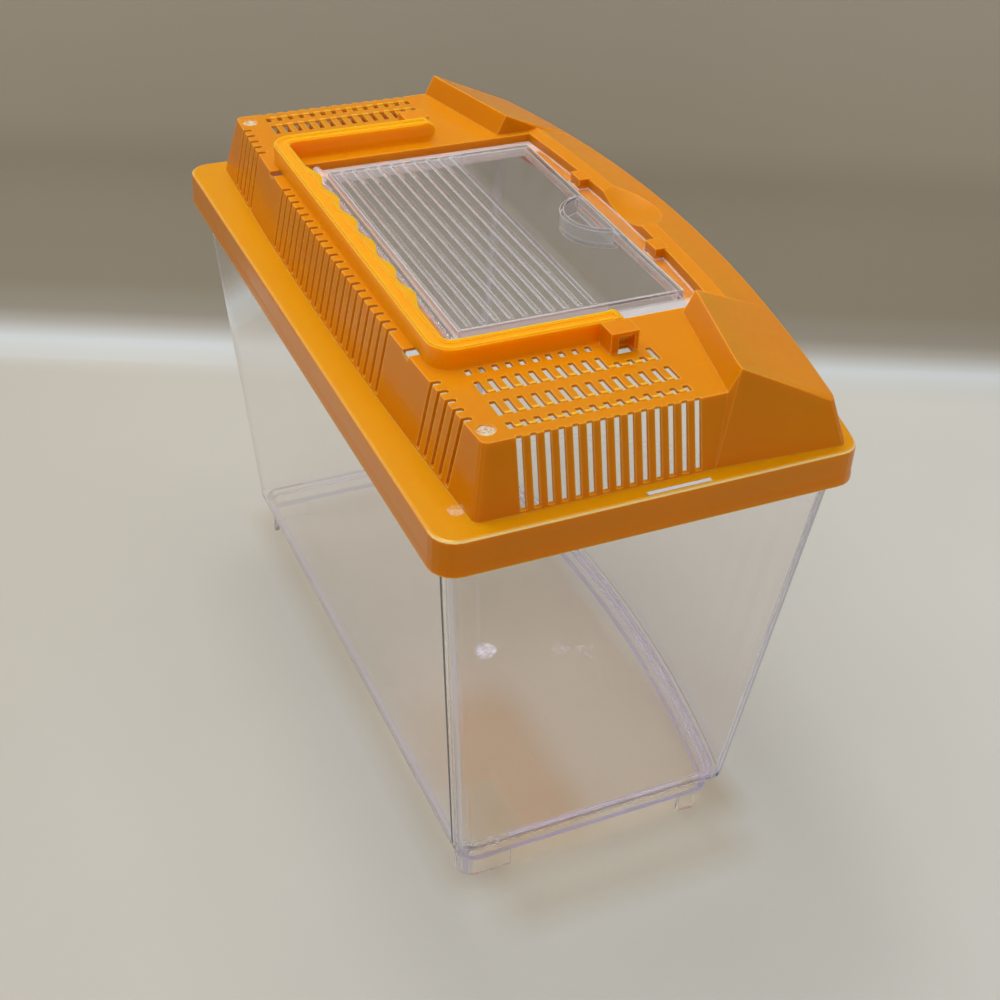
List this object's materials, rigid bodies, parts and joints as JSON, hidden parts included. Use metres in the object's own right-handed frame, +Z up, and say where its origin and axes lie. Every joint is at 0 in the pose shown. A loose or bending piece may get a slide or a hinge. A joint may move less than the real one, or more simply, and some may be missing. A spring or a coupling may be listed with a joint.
{
  "type": "small pet keeper",
  "caption": "Clear bow-fronted plastic tank with a vented lid, a hinged hatch door and a fold-flat carry handle, for carrying and keeping small animals.",
  "frame": {"origin": "on the ground, below the middle of the keeper's outline", "axes": "+X along the length, +Y towards the straight back, -Y towards the bowed front, +Z up"},
  "size_m": [0.3, 0.1778, 0.2233],
  "materials": {
    "clear_polystyrene": "clear, polished injection-moulded polystyrene",
    "orange_lid": "slightly translucent orange plastic, satin",
    "clear_door": "clear, polished injection-moulded polystyrene",
    "orange_handle": "orange plastic, satin"
  },
  "bodies": {
    "tank": {"tank": "clear_polystyrene"},
    "lid": {"lid": "orange_lid"},
    "hatch_door": {"hatch_door": "clear_door"},
    "handle": {"handle": "orange_handle"}
  },
  "joints": [
    {"name": "lid_lift", "type": "slide", "parent": "tank", "child": "lid", "axis": [0, 0, 1], "range_m": [0, 0.04]},
    {"name": "door_hinge", "type": "hinge", "parent": "lid", "child": "hatch_door", "pos_m": [0, 0.05073, 0.2114], "axis": [-1, 0, 0], "range_deg": [0, 90]},
    {"name": "handle_pivot", "type": "hinge", "parent": "lid", "child": "handle", "pos_m": [0, -0.00107, 0.21915], "axis": [1, 0, 0], "range_deg": [0, 160]}
  ]
}
